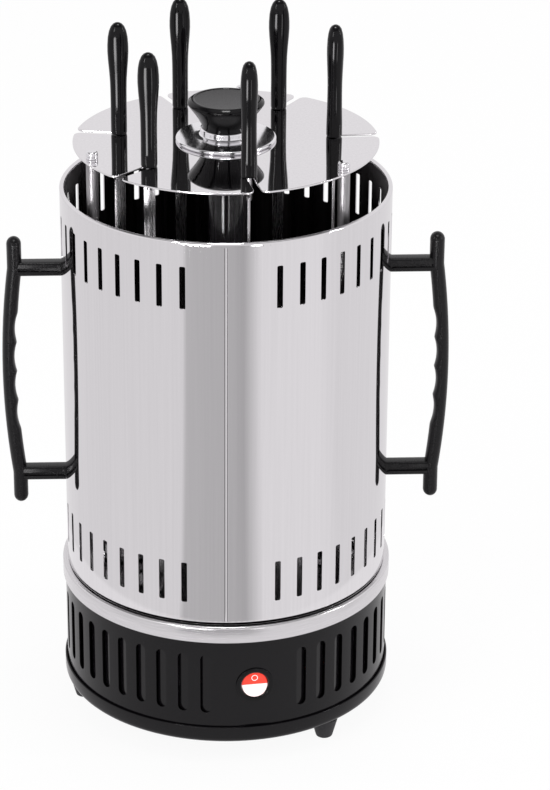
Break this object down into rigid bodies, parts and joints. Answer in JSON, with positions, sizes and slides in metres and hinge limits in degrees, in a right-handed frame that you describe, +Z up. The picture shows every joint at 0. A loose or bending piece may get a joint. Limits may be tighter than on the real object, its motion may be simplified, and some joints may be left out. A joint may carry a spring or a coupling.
{
  "type": "vertical electric skewer grill",
  "caption": "Tabletop upright grill: geared skewers turn round a central heater under a slotted plate, inside a lift-off polished shell with side grips.",
  "frame": {"origin": "on the floor under the vertical axis of the round body, at the centre of the bounding box's underside", "axes": "+Z up along the body's axis; -Y towards the front, where the shell's seam is; +X towards the right grip as seen from the front"},
  "size_m": [0.2666, 0.2, 0.4255],
  "materials": {
    "brushed_steel": "brushed",
    "polished_steel": "polished",
    "chrome": "polished",
    "black_enamel": "gloss",
    "black_satin_plastic": "satin",
    "black_gloss_plastic": "gloss",
    "black_rubber": "matte",
    "red_lens": "gloss",
    "zinc_steel": "satin",
    "brass": "satin",
    "white_nylon": "matte",
    "ceramic": "matte",
    "quartz": "clear",
    "lead_insulation": "matte",
    "heating_wire": "oxidised"
  },
  "bodies": {
    "base": {"bottom_plate": "black_enamel", "feet": "black_rubber", "base_housing": "black_enamel", "deck_tray": "brushed_steel", "gear_plate": "zinc_steel", "frame_pillars": "zinc_steel", "pillar_screws": "zinc_steel", "post_spacers": "zinc_steel", "motor_body": "zinc_steel", "motor_screws": "zinc_steel", "deck_bushes": "white_nylon", "plate_bushes": "white_nylon", "switch_body": "black_gloss_plastic", "switch_terminals": "brass", "cord_gland": "black_rubber", "terminal_block": "white_nylon", "wiring": "lead_insulation", "heater_base": "ceramic", "heater_terminals": "brass", "quartz_tube": "quartz", "ceramic_core": "ceramic", "heating_coil": "heating_wire", "heater_cap": "chrome", "posts": "polished_steel", "post_cap_nuts": "chrome", "post_foot_nuts": "zinc_steel", "top_plate": "brushed_steel", "knob_flange": "chrome", "knob": "black_satin_plastic", "knob_screw": "zinc_steel"},
    "spindle_drive_1": {"spindle_gear_1": "white_nylon", "spindle_1": "brushed_steel"},
    "spindle_drive_2": {"spindle_gear_2": "white_nylon", "spindle_2": "brushed_steel"},
    "spindle_drive_3": {"spindle_gear_3": "white_nylon", "spindle_3": "brushed_steel"},
    "spindle_drive_4": {"spindle_gear_4": "white_nylon", "spindle_4": "brushed_steel"},
    "spindle_drive_5": {"spindle_gear_5": "white_nylon", "spindle_5": "brushed_steel"},
    "spindle_drive_6": {"spindle_gear_6": "white_nylon", "spindle_6": "brushed_steel"},
    "skewer_1": {"skewer_blade_1": "polished_steel", "skewer_handle_1": "black_gloss_plastic"},
    "skewer_2": {"skewer_blade_2": "polished_steel", "skewer_handle_2": "black_gloss_plastic"},
    "skewer_3": {"skewer_blade_3": "polished_steel", "skewer_handle_3": "black_gloss_plastic"},
    "skewer_4": {"skewer_blade_4": "polished_steel", "skewer_handle_4": "black_gloss_plastic"},
    "skewer_5": {"skewer_blade_5": "polished_steel", "skewer_handle_5": "black_gloss_plastic"},
    "skewer_6": {"skewer_blade_6": "polished_steel", "skewer_handle_6": "black_gloss_plastic"},
    "pinion": {"motor_pinion": "brass"},
    "rocker": {"switch_rocker": "red_lens"},
    "shell_cover": {"shell": "polished_steel", "left_handle": "black_satin_plastic", "right_handle": "black_satin_plastic", "handle_screws": "zinc_steel"}
  },
  "joints": [
    {"name": "spindle_1_turn", "type": "hinge", "parent": "base", "child": "spindle_drive_1", "pos_m": [0.01286, -0.06157, 0.09], "axis": [0, 0, 1], "continuous": true},
    {"name": "spindle_2_turn", "type": "hinge", "parent": "base", "child": "spindle_drive_2", "pos_m": [-0.04338, -0.04555, 0.09], "axis": [0, 0, 1], "continuous": true},
    {"name": "spindle_3_turn", "type": "hinge", "parent": "base", "child": "spindle_drive_3", "pos_m": [-0.06213, 0.00984, 0.09], "axis": [0, 0, 1], "continuous": true},
    {"name": "spindle_4_turn", "type": "hinge", "parent": "base", "child": "spindle_drive_4", "pos_m": [-0.02718, 0.05672, 0.09], "axis": [0, 0, 1], "continuous": true},
    {"name": "spindle_5_turn", "type": "hinge", "parent": "base", "child": "spindle_drive_5", "pos_m": [0.03126, 0.05458, 0.09], "axis": [0, 0, 1], "continuous": true},
    {"name": "spindle_6_turn", "type": "hinge", "parent": "base", "child": "spindle_drive_6", "pos_m": [0.06268, 0.00526, 0.09], "axis": [0, 0, 1], "continuous": true},
    {"name": "skewer_1_lift", "type": "slide", "parent": "spindle_drive_1", "child": "skewer_1", "axis": [0, 0, 1], "range_m": [0, 0.009]},
    {"name": "skewer_2_lift", "type": "slide", "parent": "spindle_drive_2", "child": "skewer_2", "axis": [0, 0, 1], "range_m": [0, 0.009]},
    {"name": "skewer_3_lift", "type": "slide", "parent": "spindle_drive_3", "child": "skewer_3", "axis": [0, 0, 1], "range_m": [0, 0.009]},
    {"name": "skewer_4_lift", "type": "slide", "parent": "spindle_drive_4", "child": "skewer_4", "axis": [0, 0, 1], "range_m": [0, 0.009]},
    {"name": "skewer_5_lift", "type": "slide", "parent": "spindle_drive_5", "child": "skewer_5", "axis": [0, 0, 1], "range_m": [0, 0.009]},
    {"name": "skewer_6_lift", "type": "slide", "parent": "spindle_drive_6", "child": "skewer_6", "axis": [0, 0, 1], "range_m": [0, 0.009]},
    {"name": "pinion_turn", "type": "hinge", "parent": "base", "child": "pinion", "pos_m": [0.03983, -0.02539, 0.075], "axis": [0, 0, 1], "continuous": true},
    {"name": "switch_press", "type": "hinge", "parent": "base", "child": "rocker", "pos_m": [0.01695, -0.09612, 0.0517], "axis": [0.9848, 0.1736, 0], "range_deg": [0, 16]},
    {"name": "shell_lift", "type": "slide", "parent": "base", "child": "shell_cover", "axis": [0, 0, 1], "range_m": [0, 0.34]}
  ],
  "couplings": [
    {"joint": "spindle_2_turn", "follows": "spindle_1_turn", "ratio": -1},
    {"joint": "spindle_3_turn", "follows": "spindle_1_turn", "ratio": 1},
    {"joint": "spindle_4_turn", "follows": "spindle_1_turn", "ratio": -1},
    {"joint": "spindle_5_turn", "follows": "spindle_1_turn", "ratio": 1},
    {"joint": "spindle_6_turn", "follows": "spindle_1_turn", "ratio": -1},
    {"joint": "pinion_turn", "follows": "spindle_1_turn", "ratio": 3.25}
  ]
}
